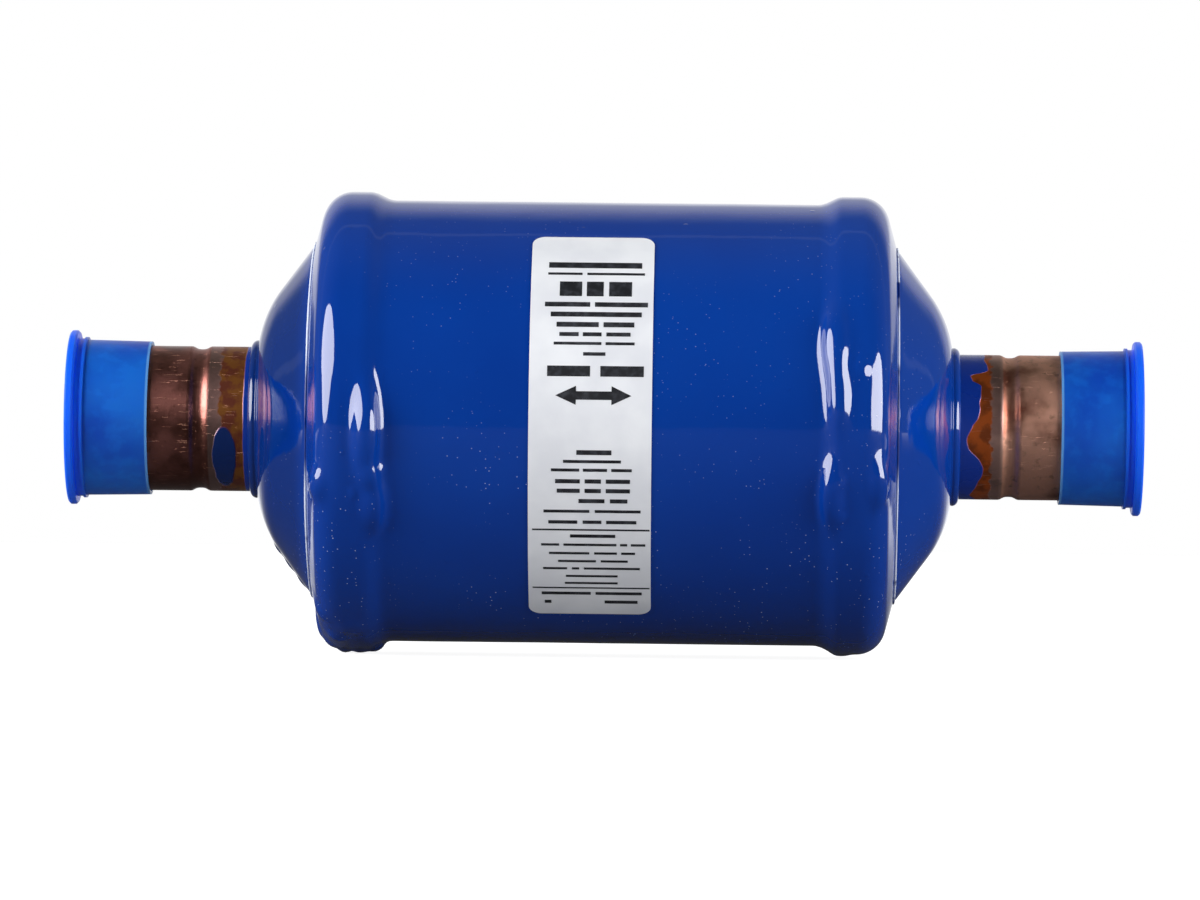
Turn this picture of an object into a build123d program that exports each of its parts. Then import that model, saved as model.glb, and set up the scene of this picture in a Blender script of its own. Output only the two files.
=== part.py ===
from build123d import *

import os
from math import cos, radians, tan

# Filter drier for a refrigerant line, built for flow either way.
#
# A steel shell with a bead near each end is closed by two pressed domes, whose
# rims lie under the shell's rolled lips. A copper solder fitting is brazed into
# each dome and carries a push-on dust cap. Inside, springs hold a moulded drying
# core between two cups. At each end a port plate carries two check valves: a
# flap that lets liquid in around the core, and a poppet that lets liquid out of
# the core's bore, so the core is always crossed from outside to inside.
#
# The axis is X, the label faces -Y and Z is up. The origin is at the middle of
# the shell, on its axis. Stations along X are given for the right-hand end. All
# sizes are in millimetres and degrees.

# ---- Fits ------------------------------------------------------------------
seat_gap = 0.05  # between pieces that are clamped, pressed or brazed together
guide_gap = 0.2  # around a piece that slides on its guide
cap_gap = 0.12  # between a dust cap and the fitting that it is pushed on

# ---- Shell -----------------------------------------------------------------
shell_radius = 37.5
shell_wall = 2.0
body_half_length = 36.6  # from the middle to the foot of the bead
bead_height = 1.4
bead_rise_length = 2.8
bead_width = 7.5
bead_foot_bend = 3.0
bead_top_bend = 1.0
lip_bend = 3.0
lip_lean = 15.0  # off the plane across the axis
lip_bore_radius = 30.3

# ---- End dome --------------------------------------------------------------
dome_wall = 2.0
step_bend = 0.8  # at the foot of the step that fills the lip's bore
rim_bend = 0.2  # where that step turns into the cone
cone_lean = 36.6
knee_radius = 18.45
neck_lean = 10.0
neck_flat = 1.5  # straight part of the neck, between the knee's bend and the fitting

# ---- Fitting, braze and dust cap -------------------------------------------
fitting_radius = 12.3
fitting_wall = 1.15
fitting_entry = 3.5  # how far the fitting reaches in through the dome
stop_distance = 8.1  # from the dome to the near edge of the rolled stop
stop_width = 3.0
stop_floor_width = 1.4
stop_depth = 0.5
stop_edge_bend = 0.15
stop_floor_bend = 1.7
socket_depth = 19.05  # from the rolled stop to the fitting's end
braze_leg = 1.1

cap_depth = 12.1
cap_end_thickness = 1.75
cap_mouth_wall = 0.6
cap_root_wall = 0.8
cap_ring_wall = 1.25
cap_ring_width = 1.55
cap_fin_width = 0.5  # the ring's raised fin, on its side towards the mouth
cap_groove_depth = 0.25  # from the fin down to the groove beside the flange
cap_flange_radius = 14.8
cap_flange_thickness = 1.4
cap_flange_edge = 0.3
cap_dish_radius = 10.0
cap_dish_depth = 0.5
cap_gate_radius = 1.4
cap_gate_height = 0.35

# ---- Label -----------------------------------------------------------------
label_width = 20.4
label_centre = -1.8
label_top_angle = 55.4  # above the front
label_bottom_angle = 58.1  # below the front
label_thickness = 0.15
label_corner_radius = 2.2

# ---- Port plate and its two check valves ------------------------------------
plate_thickness = 1.5
inlet_port_count = 12
inlet_port_radius = 2.4
inlet_circle_radius = 21.0
outlet_port_radius = 8.0

flap_overlap = 2.1  # how far the flap reaches past the inlet ports
flap_thickness = 0.8
leaf_thickness = 0.3
leaf_finger_count = 3
leaf_finger_width = 4.0
leaf_ring_width = 3.0
leaf_foot_length = 2.5

poppet_seat_width = 1.5
poppet_thickness = 1.2
stem_radius = 1.5
stem_reach = 1.5  # beyond the cage that guides it

cage_wall = 0.8
cage_clearance = 0.6  # around the poppet
cage_height = 8.8
cage_flange_width = 3.1
cage_window_count = 3
cage_window_width = 11.0
cage_window_margin = 1.5  # metal left above and below each window

poppet_spring_radius = 5.0
poppet_spring_wire = 0.8
poppet_spring_turns = 3

# ---- Core and what holds it --------------------------------------------------
flow_gap = 2.65  # left between the shell and the cups, for the liquid
core_half_length = 30.4
core_bore_radius = 7.5
wrap_thickness = 0.95
pad_thickness = 1.5
cup_wall = 0.8
cup_skirt_length = 3.0
screen_wall = 0.5
screen_slot_rows = 3
screen_slots_per_row = 4
screen_slot_length = 9.0
screen_slot_width = 2.0
screen_slot_pitch = 16.0
core_spring_inset = 3.45  # from the cup's rim to the middle of the spring's wire
core_spring_wire = 1.4
core_spring_turns = 1.75

# ---- Stations along X and radii that follow from them -------------------------
bead_radius = shell_radius + bead_height
bead_top = body_half_length + bead_rise_length
lip_corner = bead_top + bead_width
lip_end = lip_corner + (bead_radius - lip_bore_radius) * tan(radians(lip_lean))
bead_bore_radius = bead_radius - shell_wall

# the bead's slope, seen inside, ends where its top bend runs out
bead_turn = 0.5 * abs(Vector(bead_rise_length, bead_height).get_angle(Vector(1, 0)))
bead_bore_start = bead_top + (shell_wall + bead_top_bend) * tan(radians(bead_turn))

plate_inner = bead_bore_start + seat_gap
plate_outer = plate_inner + plate_thickness
skirt_start = plate_outer + seat_gap

# the dome's ledge lies under the shell's lip, one wall and a gap inside it
ledge_depth = shell_wall + seat_gap
ledge_radius = bead_radius - ledge_depth
ledge_corner = lip_corner - ledge_depth * tan(radians((90 - lip_lean) / 2))
step_radius = lip_bore_radius - seat_gap
step_foot = ledge_corner + (ledge_radius - step_radius) * tan(radians(lip_lean))
knee = lip_end + (step_radius - knee_radius) * tan(radians(cone_lean))
fitting_hole_radius = fitting_radius + seat_gap
crown = knee + (knee_radius - fitting_hole_radius) * tan(radians(neck_lean))
neck_length = (knee_radius - fitting_hole_radius) / cos(radians(neck_lean))
knee_bend = (neck_length - neck_flat) / tan(radians((cone_lean - neck_lean) / 2)) - dome_wall

fitting_start = crown - fitting_entry
stop_start = crown + stop_distance
stop_end = stop_start + stop_width
fitting_end = stop_end + socket_depth

cap_web = fitting_end + seat_gap
cap_end = cap_web + cap_end_thickness
cap_mouth = cap_web - cap_depth
cap_bore_radius = fitting_radius + cap_gap

cup_inner = core_half_length + seat_gap + pad_thickness + seat_gap
cup_outer = cup_inner + cup_wall
cup_radius = shell_radius - shell_wall - flow_gap
wrap_radius = cup_radius - cup_wall - seat_gap
core_radius = wrap_radius - wrap_thickness - seat_gap
spigot_radius = outlet_port_radius - seat_gap
flap_back = plate_inner - seat_gap - flap_thickness


def bend_radii(corners, bends, wall):
    """Radii of a bent sheet's outside line, from the inside radius of each bend."""
    radii = []
    for before, corner, after, bend in zip(corners, corners[1:], corners[2:], bends):
        run_in = Vector(*corner) - Vector(*before)
        run_out = Vector(*after) - Vector(*corner)
        turns_in = run_in.cross(run_out).Z < 0
        radii.append(bend + wall if turns_in else bend)
    return radii


def sheet_section(corners, bends, wall):
    """Section of a bent sheet. Its outside line lies to the left of the corners' path."""
    with BuildSketch(Plane.XY) as section:
        with BuildLine():
            FilletPolyline(*corners, radius=bend_radii(corners, bends, wall))
            offset(amount=wall, side=Side.RIGHT)
        make_face()
    return section.sketch


def folded_section(corners, wall):
    """Section of a sheet folded sharp, with its outside line to the left as above."""
    with BuildSketch(Plane.XY) as section:
        with BuildLine():
            Polyline(*corners)
            offset(amount=wall, side=Side.RIGHT)
        make_face()
    return section.sketch


def outline_section(corners):
    """Section with straight sides, from its (station, radius) corners."""
    with BuildSketch(Plane.XY) as section:
        with BuildLine():
            Polyline(*corners, close=True)
        make_face()
    return section.sketch


def disc(radius, station):
    """Flat round face across the axis."""
    with BuildSketch(Plane.YZ.offset(station)) as face:
        Circle(radius)
    return face.sketch


def ring(outer_radius, inner_radius, station):
    """Flat ring across the axis."""
    with BuildSketch(Plane.YZ.offset(station)) as face:
        Circle(outer_radius)
        Circle(inner_radius, mode=Mode.SUBTRACT)
    return face.sketch


def cuts_around(radius, count, depth, width, station):
    """Rectangles spaced evenly around the axis, to cut openings in a round wall."""
    with BuildSketch(Plane.YZ.offset(station)) as face:
        with PolarLocations(radius, count):
            Rectangle(depth, width)
    return face.sketch


def spring_wire(radius, wire, start, end, turns):
    """Square section and helix of a spring wound about X, between two flat faces."""
    rise = end - start - wire
    with BuildLine() as coil:
        Helix(rise / turns, rise, radius, center=(start + wire / 2, 0, 0), direction=(1, 0, 0))
    wire_start = coil.line @ 0
    outward = Vector(0, wire_start.Y, wire_start.Z)
    with BuildSketch(Plane(wire_start, x_dir=outward, z_dir=coil.line % 0)) as section:
        Rectangle(wire, wire)
    return section.sketch, coil.line


# ---- Shell -----------------------------------------------------------------
lip_run_out = lip_bore_radius - shell_wall
shell_end_corners = [
    (body_half_length, shell_radius),
    (bead_top, bead_radius),
    (lip_corner, bead_radius),
    (lip_end + shell_wall * tan(radians(lip_lean)), lip_run_out),
]
shell_end_bends = [bead_foot_bend, bead_top_bend, lip_bend]

with BuildPart() as shell:
    shell_section = sheet_section(
        [(-x, r) for x, r in reversed(shell_end_corners)] + shell_end_corners,
        shell_end_bends[::-1] + shell_end_bends,
        shell_wall,
    )
    revolve(shell_section, axis=Axis.X)
    extrude(disc(lip_bore_radius, 0), amount=2 * lip_end, both=True, mode=Mode.SUBTRACT)
    lip_bores = shell.faces().filter_by(GeomType.CYLINDER).sort_by(lambda f: f.radius)[:2]
    inner_lip_edges = [
        lip_bore.edges().filter_by(GeomType.CIRCLE).sort_by(lambda e: abs(e.arc_center.X))[0]
        for lip_bore in lip_bores
    ]
    fillet(inner_lip_edges, radius=step_bend + 2 * seat_gap)

# ---- End dome --------------------------------------------------------------
hole_run_out = fitting_hole_radius - dome_wall

with BuildPart() as end_dome:
    dome_section = sheet_section(
        [
            (skirt_start, ledge_radius),
            (ledge_corner, ledge_radius),
            (step_foot, step_radius),
            (lip_end, step_radius),
            (knee, knee_radius),
            (crown + dome_wall * tan(radians(neck_lean)), hole_run_out),
        ],
        [lip_bend - seat_gap - dome_wall, step_bend, rim_bend, knee_bend],
        dome_wall,
    )
    revolve(dome_section, axis=Axis.X)
    extrude(disc(fitting_hole_radius, 0), amount=fitting_end, mode=Mode.SUBTRACT)

# ---- Fitting and its braze ---------------------------------------------------
stop_slope_width = (stop_width - stop_floor_width) / 2

with BuildPart() as fitting:
    fitting_section = sheet_section(
        [
            (fitting_start, fitting_radius),
            (stop_start, fitting_radius),
            (stop_start + stop_slope_width, fitting_radius - stop_depth),
            (stop_end - stop_slope_width, fitting_radius - stop_depth),
            (stop_end, fitting_radius),
            (fitting_end, fitting_radius),
        ],
        [stop_edge_bend, stop_floor_bend, stop_floor_bend, stop_edge_bend],
        fitting_wall,
    )
    revolve(fitting_section, axis=Axis.X)

with BuildPart() as braze_ring:
    braze_foot = crown + seat_gap
    with BuildSketch(Plane.XY):
        with BuildLine():
            along_dome = Line(
                (braze_foot, fitting_hole_radius),
                (
                    braze_foot - braze_leg * tan(radians(neck_lean)),
                    fitting_hole_radius + braze_leg,
                ),
            )
            along_fitting = Line(
                (braze_foot, fitting_hole_radius),
                (braze_foot + braze_leg, fitting_hole_radius),
            )
            RadiusArc(along_dome @ 1, along_fitting @ 1, braze_leg)
        make_face()
    revolve(axis=Axis.X)

# ---- Dust cap ----------------------------------------------------------------
cap_flange_start = cap_end - cap_flange_thickness
cap_ring_start = cap_flange_start - cap_ring_width
cap_fin_end = cap_ring_start + cap_fin_width

with BuildPart() as cap:
    cap_section = outline_section(
        [
            (cap_mouth, cap_bore_radius),
            (cap_mouth, cap_bore_radius + cap_mouth_wall),
            (cap_ring_start, cap_bore_radius + cap_root_wall),
            (cap_ring_start, cap_bore_radius + cap_ring_wall),
            (cap_fin_end, cap_bore_radius + cap_ring_wall),
            (cap_fin_end, cap_bore_radius + cap_ring_wall - cap_groove_depth),
            (cap_flange_start, cap_bore_radius + cap_ring_wall - cap_groove_depth),
            (cap_flange_start, cap_flange_radius),
            (cap_end, cap_flange_radius),
            (cap_end, cap_dish_radius),
            (cap_end - cap_dish_depth, cap_dish_radius - cap_dish_depth),
            (cap_end - cap_dish_depth, cap_gate_radius),
            (cap_end - cap_dish_depth + cap_gate_height, cap_gate_radius),
            (cap_end - cap_dish_depth + cap_gate_height, 0),
            (cap_web, 0),
            (cap_web, cap_bore_radius),
        ]
    )
    revolve(cap_section, axis=Axis.X)
    flange_edges = cap.edges().filter_by(GeomType.CIRCLE).sort_by(lambda e: e.radius)[-2:]
    chamfer(flange_edges, length=cap_flange_edge)

# ---- Label -------------------------------------------------------------------
label_inner_radius = shell_radius + seat_gap

with BuildPart() as label:
    front = Plane(origin=(0, 0, 0), x_dir=(1, 0, 0), z_dir=(0, 0, 1))
    with BuildSketch(front.rotated((180 - label_top_angle, 0, 0))):
        with Locations((label_centre, label_inner_radius + label_thickness / 2)):
            Rectangle(label_width, label_thickness)
    revolve(axis=Axis.X, revolution_arc=label_top_angle + label_bottom_angle)
    corner_edges = label.edges().group_by(lambda e: round(e.length, 3))[0]
    fillet(corner_edges, radius=label_corner_radius)

# ---- Port plate ----------------------------------------------------------------
with BuildPart() as valve_plate:
    with BuildSketch(Plane.YZ.offset(plate_inner)):
        Circle(ledge_radius)
        Circle(outlet_port_radius, mode=Mode.SUBTRACT)
        with PolarLocations(inlet_circle_radius, inlet_port_count):
            Circle(inlet_port_radius, mode=Mode.SUBTRACT)
    extrude(amount=plate_thickness)

# ---- Inlet check valve: a flap guided on the core cup's spigot -----------------
flap_radius = inlet_circle_radius + inlet_port_radius + flap_overlap
finger_reach = inlet_circle_radius - inlet_port_radius

with BuildPart() as inlet_flap:
    extrude(ring(flap_radius, spigot_radius + guide_gap, flap_back), amount=flap_thickness)

with BuildPart() as inlet_spring:
    leaf_bore_radius = spigot_radius + guide_gap
    leaf_back = cup_outer + seat_gap
    leaf_ring_radius = leaf_bore_radius + leaf_ring_width
    extrude(ring(leaf_ring_radius, leaf_bore_radius, leaf_back), amount=leaf_thickness)
    for finger in range(leaf_finger_count):
        side = Plane.XY.rotated((finger * 360 / leaf_finger_count, 0, 0))
        with BuildSketch(side):
            with BuildLine():
                Polyline(
                    (leaf_back, leaf_bore_radius + leaf_ring_width / 2),
                    (leaf_back, leaf_bore_radius + leaf_ring_width),
                    (flap_back - seat_gap - leaf_thickness, finger_reach - leaf_foot_length),
                    (flap_back - seat_gap - leaf_thickness, finger_reach),
                )
                offset(amount=leaf_thickness, side=Side.RIGHT)
            make_face()
        extrude(amount=leaf_finger_width / 2, both=True)

# ---- Outlet check valve: a poppet in a stamped cage ------------------------------
poppet_back = plate_outer + seat_gap
poppet_front = poppet_back + poppet_thickness
poppet_radius = outlet_port_radius + poppet_seat_width
cage_radius = poppet_radius + cage_clearance + cage_wall
cage_flange_front = plate_outer + seat_gap + cage_wall
cage_top = plate_outer + cage_height

with BuildPart() as outlet_poppet:
    poppet_section = outline_section(
        [
            (poppet_back, 0),
            (poppet_back, poppet_radius),
            (poppet_front, poppet_radius),
            (poppet_front, stem_radius),
            (cage_top + stem_reach, stem_radius),
            (cage_top + stem_reach, 0),
        ]
    )
    revolve(poppet_section, axis=Axis.X)

with BuildPart() as valve_cage:
    cage_section = folded_section(
        [
            (cage_flange_front, cage_radius + cage_flange_width),
            (cage_flange_front, cage_radius),
            (cage_top, cage_radius),
            (cage_top, stem_radius + guide_gap),
        ],
        cage_wall,
    )
    revolve(cage_section, axis=Axis.X)
    window_start = cage_flange_front + cage_window_margin
    window_end = cage_top - cage_wall - cage_window_margin
    windows = cuts_around(cage_radius, cage_window_count, cage_radius, cage_window_width, window_start)
    extrude(windows, amount=window_end - window_start, mode=Mode.SUBTRACT)

with BuildPart() as outlet_spring:
    section, coil = spring_wire(
        poppet_spring_radius,
        poppet_spring_wire,
        poppet_front + seat_gap,
        cage_top - cage_wall - seat_gap,
        poppet_spring_turns,
    )
    sweep(section, path=coil, is_frenet=True)

# ---- Core, wrap, screen and pads --------------------------------------------------
with BuildPart() as desiccant_core:
    extrude(ring(core_radius, core_bore_radius, 0), amount=core_half_length, both=True)

with BuildPart() as core_wrap:
    extrude(ring(wrap_radius, core_radius + seat_gap, 0), amount=core_half_length, both=True)

with BuildPart() as core_screen:
    screen_radius = core_bore_radius - seat_gap
    screen_half_length = cup_inner - seat_gap
    extrude(ring(screen_radius, screen_radius - screen_wall, 0), amount=screen_half_length, both=True)
    for row in range(screen_slot_rows):
        row_centre = (row - (screen_slot_rows - 1) / 2) * screen_slot_pitch
        slots = cuts_around(
            screen_radius, screen_slots_per_row, screen_radius, screen_slot_width, row_centre
        )
        extrude(slots, amount=screen_slot_length / 2, both=True, mode=Mode.SUBTRACT)

with BuildPart() as core_pad:
    extrude(ring(wrap_radius, core_bore_radius, core_half_length + seat_gap), amount=pad_thickness)

# ---- Core cup and the spring that clamps it ------------------------------------------
with BuildPart() as core_cup:
    cup_section = folded_section(
        [
            (cup_outer - cup_wall - cup_skirt_length, cup_radius),
            (cup_outer, cup_radius),
            (cup_outer, spigot_radius),
            (plate_outer, spigot_radius),
        ],
        cup_wall,
    )
    revolve(cup_section, axis=Axis.X)

with BuildPart() as core_spring:
    section, coil = spring_wire(
        cup_radius - core_spring_inset,
        core_spring_wire,
        cup_outer + seat_gap,
        plate_inner - seat_gap,
        core_spring_turns,
    )
    sweep(section, path=coil, is_frenet=True)

# ---- Files: one STEP for each piece ----------------------------------------------------
os.makedirs("parts", exist_ok=True)

single_pieces = {
    "shell": shell,
    "label": label,
    "desiccant_core": desiccant_core,
    "core_wrap": core_wrap,
    "core_screen": core_screen,
}
for name, piece in single_pieces.items():
    piece.part.label = name
    export_step(piece.part, f"parts/{name}.step")

# both ends hold the same pieces, turned half round about Z
end_pieces = {
    "end_dome": end_dome,
    "fitting": fitting,
    "braze_ring": braze_ring,
    "cap": cap,
    "valve_plate": valve_plate,
    "inlet_flap": inlet_flap,
    "inlet_spring": inlet_spring,
    "outlet_poppet": outlet_poppet,
    "outlet_spring": outlet_spring,
    "valve_cage": valve_cage,
    "core_pad": core_pad,
    "core_cup": core_cup,
    "core_spring": core_spring,
}
for end, turn in {"right": 0, "left": 180}.items():
    for name, piece in end_pieces.items():
        with BuildPart() as placed:
            with Locations(Location((0, 0, 0), (0, 0, turn))):
                add(piece.part)
        placed.part.label = f"{end}_{name}"
        export_step(placed.part, f"parts/{end}_{name}.step")
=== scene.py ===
# %% [markdown]
# # A filter drier, dressed over its frame
# A filter drier cleans and dries the refrigerant in a cooling circuit. From outside it is a
# dip-painted steel can, with a copper stub brazed into each end and a plastic dust cap pushed over
# each stub. The packed model gives every size and every joint. This lesson adds what plain solids
# can't hold: wet-looking enamel with its runs and specks, tarnished copper, milky plastic, a printed
# foil label, copies of the springs in spring steel, and the studio around them.

# %% Load the frame
import bpy, math
import numpy as np
from mathutils import Matrix, Vector, noise


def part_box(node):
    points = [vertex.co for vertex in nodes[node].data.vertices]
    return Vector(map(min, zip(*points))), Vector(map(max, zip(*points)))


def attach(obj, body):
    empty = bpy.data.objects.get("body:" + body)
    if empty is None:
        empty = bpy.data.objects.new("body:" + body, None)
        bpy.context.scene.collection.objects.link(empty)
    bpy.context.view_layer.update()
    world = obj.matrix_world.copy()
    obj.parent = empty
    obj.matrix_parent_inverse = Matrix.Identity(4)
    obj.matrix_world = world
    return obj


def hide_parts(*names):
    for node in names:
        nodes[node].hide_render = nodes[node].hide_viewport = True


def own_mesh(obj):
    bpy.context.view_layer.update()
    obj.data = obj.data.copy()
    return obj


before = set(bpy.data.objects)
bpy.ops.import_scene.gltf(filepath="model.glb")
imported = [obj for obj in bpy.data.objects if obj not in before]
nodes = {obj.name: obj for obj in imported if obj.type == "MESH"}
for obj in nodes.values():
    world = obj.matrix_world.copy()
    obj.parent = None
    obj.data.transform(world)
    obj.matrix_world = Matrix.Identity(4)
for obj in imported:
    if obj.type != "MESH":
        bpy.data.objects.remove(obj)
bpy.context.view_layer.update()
mm = 0.001
SIDES = ("left", "right")


# %% [markdown]
# ## A bench for materials
# Every finish here is a Principled shader, fed by a small chain of nodes. Such a chain could be
# drawn by hand in the shader editor. In a script each node, each input and each link has to be said,
# so a short class says them. That keeps a recipe as readable as a painter's: colour first, then
# roughness, then the height that catches the light.

# %% Node bench


class Bench:
    """Adds nodes to one tree and joins them."""

    def __init__(self, tree):
        self.tree = tree

    def put(self, kind, settings=None, **inputs):
        """A node with its settings, and a number, a colour or a link for each named input."""
        node = self.tree.nodes.new(kind)
        for name, value in (settings or {}).items():
            setattr(node, name, value)
        for name, value in inputs.items():
            self.feed(node.inputs[name.replace("_", " ")], value)
        return node

    def feed(self, socket, value):
        if isinstance(value, bpy.types.NodeSocket):
            self.tree.links.new(value, socket)
        else:
            socket.default_value = value

    def math(self, operation, *values):
        node = self.put("ShaderNodeMath", {"operation": operation})
        for socket, value in zip(node.inputs, values):
            self.feed(socket, value)
        return node.outputs[0]

    def times(self, first, second):
        return self.math("MULTIPLY", first, second)

    def times_plus(self, value, factor, extra):
        return self.math("MULTIPLY_ADD", value, factor, extra)

    def astray(self, value, cloud, amount):
        """The value, moved to and fro by a noise whose middle is 0.5."""
        return self.times_plus(self.math("SUBTRACT", cloud, 0.5), amount, value)

    def between(self, value, low, high, out_low=0.0, out_high=1.0):
        """A smooth step from out_low to out_high, while the value goes from low to high."""
        node = self.put("ShaderNodeMapRange", {"interpolation_type": "SMOOTHSTEP"}, Value=value)
        for socket, number in zip(node.inputs[1:5], (low, high, out_low, out_high)):
            self.feed(socket, number)
        return node.outputs[0]

    def mix(self, share, first, second):
        node = self.put("ShaderNodeMix", {"data_type": "RGBA"})
        for at, value in ((0, share), (6, first), (7, second)):
            self.feed(node.inputs[at], value)
        return node.outputs[2]

    def place(self):
        """Where a point lies in the drier's own frame, in metres."""
        return self.put("ShaderNodeTexCoord").outputs["Object"]

    def axis(self, vector, letter):
        return self.put("ShaderNodeSeparateXYZ", Vector=vector).outputs["XYZ".index(letter)]

    def stretched(self, vector, scale):
        return self.put("ShaderNodeMapping", Vector=vector, Scale=scale).outputs[0]

    def noise(self, vector, scale, detail=3.0, roughness=0.5):
        return self.put("ShaderNodeTexNoise", Vector=vector, Scale=scale, Detail=detail,
                        Roughness=roughness).outputs[0]

    def mask(self, group, **inputs):
        return self.put("ShaderNodeGroup", {"node_tree": group}, **inputs).outputs[0]

    def bump(self, shader, height, distance, strength=1.0):
        """Feeds a height to the shader's Normal; a height of 1 is this distance in metres."""
        node = self.put("ShaderNodeBump", Strength=strength, Distance=distance, Height=height)
        self.feed(shader.inputs["Normal"], node.outputs[0])


print("bench tools:", [name for name in vars(Bench) if not name.startswith("_")])

# %% [markdown]
# ## Naming, colouring and dressing
# A finish starts as a new material with its own bench. Colours are given as a screen shows them,
# from 0 to 255, because that is how anyone picks them, and turned into the linear colours that a
# shader takes. Numbers that are the same all over go straight on the shader's own sockets. The
# frame's pieces keep their meshes: dressing one only fills its material slots.

# %% Helpers for finishes


def finish_named(name):
    """A new material, a bench to build it on, and its Principled shader."""
    material = bpy.data.materials.new(name)
    material.use_nodes = True
    shader = material.node_tree.nodes["Principled BSDF"]
    return material, Bench(material.node_tree), shader


def colour(red, green, blue):
    """A screen colour as the linear colour that a shader takes."""
    def linear(v):
        v /= 255
        return v / 12.92 if v <= 0.04045 else ((v + 0.055) / 1.055) ** 2.4
    return (linear(red), linear(green), linear(blue), 1.0)


def fixed(shader, **values):
    for name, value in values.items():
        shader.inputs[name.replace("_", " ")].default_value = value


def dress(names, material):
    for name in names:
        for at in range(len(nodes[name].material_slots)):
            nodes[name].material_slots[at].material = material
    print(material.name, "on", ", ".join(names))


print("a middle grey of 128 is", round(colour(128, 128, 128)[0], 3), "in linear light")

# %% [markdown]
# ## Effects that several finishes share
# Paint, copper, plastic and steel carry two marks of the workshop: tiny specks of dust or pits, and
# fine scratches from handling. Each could be an image of dirt, but an image has edges and a fixed
# fineness. A noise has neither, so each is a node group, built once. It puts out only a mask, and
# each finish decides what the mask does to it.

# %% Specks: one dot in some cells of a grid of cells


def shared_group(name, inputs):
    """A node group with these numbers going in and one mask coming out."""
    group = bpy.data.node_groups.new(name, "ShaderNodeTree")
    for label, value in inputs.items():
        socket = group.interface.new_socket(label, in_out="INPUT", socket_type="NodeSocketFloat")
        socket.default_value = value
    group.interface.new_socket("Mask", in_out="OUTPUT", socket_type="NodeSocketFloat")
    given = group.nodes.new("NodeGroupInput").outputs
    mask = group.nodes.new("NodeGroupOutput").inputs["Mask"]
    return group, Bench(group), given, mask


SPECK_CORE = 0.45  # share of a speck's radius that is fully covered

specks, b, given, mask = shared_group("Specks", {"Per metre": 900.0, "Size": 0.12, "Share": 0.3})
cells = b.put("ShaderNodeTexVoronoi", Vector=b.place(), Scale=given["Per metre"]).outputs
near = b.between(cells["Distance"], given["Size"], b.times(given["Size"], SPECK_CORE))
lot = b.put("ShaderNodeSeparateColor", Color=cells["Color"]).outputs[0]
b.feed(mask, b.times(near, b.math("LESS_THAN", lot, given["Share"])))
print(specks.name, "has", len(specks.nodes), "nodes")

# %% Scratches: a noise drawn out along the drier
scratches, b, given, mask = shared_group("Scratches",
                                         {"Across": 9000.0, "Along": 160.0, "Share": 0.3})
spot = b.place()
bent = b.times_plus(b.noise(spot, 60.0), 0.0012, b.axis(spot, "Z"))
drawn_out = b.put("ShaderNodeCombineXYZ",
                  X=b.times(b.axis(spot, "X"), given["Along"]),
                  Y=b.times(b.axis(spot, "Y"), given["Across"]),
                  Z=b.times(bent, given["Across"])).outputs[0]
limit = b.times_plus(given["Share"], -0.4, 0.8)
streak = b.noise(drawn_out, 1.0, detail=2.0)
b.feed(mask, b.between(streak, limit, b.math("ADD", limit, 0.06)))
print(scratches.name, "has", len(scratches.nodes), "nodes")

# %% [markdown]
# ## The enamel
# The can is dipped, so its paint is thick, very glossy and never quite level. It carries orange
# peel and pale specks that lie mostly low on the can, partly dust and partly painted glints of tiny
# bubbles. Its left end and dome are painted a darker blue, as painted shade. Car paint is often made
# with a clear coat over a colour. Dip enamel is one layer, so one smooth shader with a high index
# carries the shine, and the unevenness goes into the height.

# %% Enamel: its colour
DEEP_BLUE, PLAIN_BLUE = colour(2, 50, 139), colour(4, 57, 149)
LEFT_END_SHADE_BLUE, DUST_AND_GLINT = colour(4, 38, 104), colour(205, 218, 244)
LEFT_END_SHADE_EDGE = (-0.0485, -0.052)  # stations at the left crease, in metres

enamel, b, shader = finish_named("dip_enamel")
spot = b.place()
body = b.mix(b.between(b.noise(spot, 22.0), 0.3, 0.7), DEEP_BLUE, PLAIN_BLUE)
# Painted shade: past the left crease the coat and its dome are painted a darker blue.
left_end_shade = b.between(b.axis(spot, "X"), *LEFT_END_SHADE_EDGE)
body = b.mix(b.times(left_end_shade, 0.85), body, LEFT_END_SHADE_BLUE)
# Pale specks, partly dust and partly painted glints of tiny bubbles; more of them low on the can.
dust_and_glint = b.mask(specks, Per_metre=1300.0, Size=0.16, Share=0.4)
dust_and_glint = b.times(dust_and_glint, b.between(b.noise(spot, 55.0), 0.42, 0.62))
low_down = b.between(b.axis(spot, "Z"), 0.01, -0.035, 0.25, 1.0)
b.feed(shader.inputs["Base Color"], b.mix(b.times(dust_and_glint, b.times(low_down, 0.9)), body, DUST_AND_GLINT))
print("enamel colour nodes:", len(enamel.node_tree.nodes))

# %% Enamel: its gloss and its height
PEEL_HEIGHT = 0.08 * mm

peel = b.noise(spot, 260.0, detail=2.0)
wave = b.noise(spot, 60.0, detail=1.0)
pits = b.mask(specks, Per_metre=230.0, Size=0.13, Share=0.22)
height = b.times_plus(wave, 1.6, b.times(peel, 0.25))
b.bump(shader, b.times_plus(pits, 0.5, height), PEEL_HEIGHT)
fixed(shader, Roughness=0.045, IOR=1.75)
print("enamel nodes:", len(enamel.node_tree.nodes))

# %% [markdown]
# ## One coat over can, ends and braze
# On the real drier the paint runs unbroken over the rolled can, the two pressed ends and the braze
# rings, and it fills the crease where they meet. Painting five separate solids blue can't show that.
# So the coat is one closed skin. Its profile could be drawn again from the drawing's sizes, but then
# it would have to be kept in step with them. It is felt out from the frame with rays instead, so it
# lies exactly where the steel is.

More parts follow.
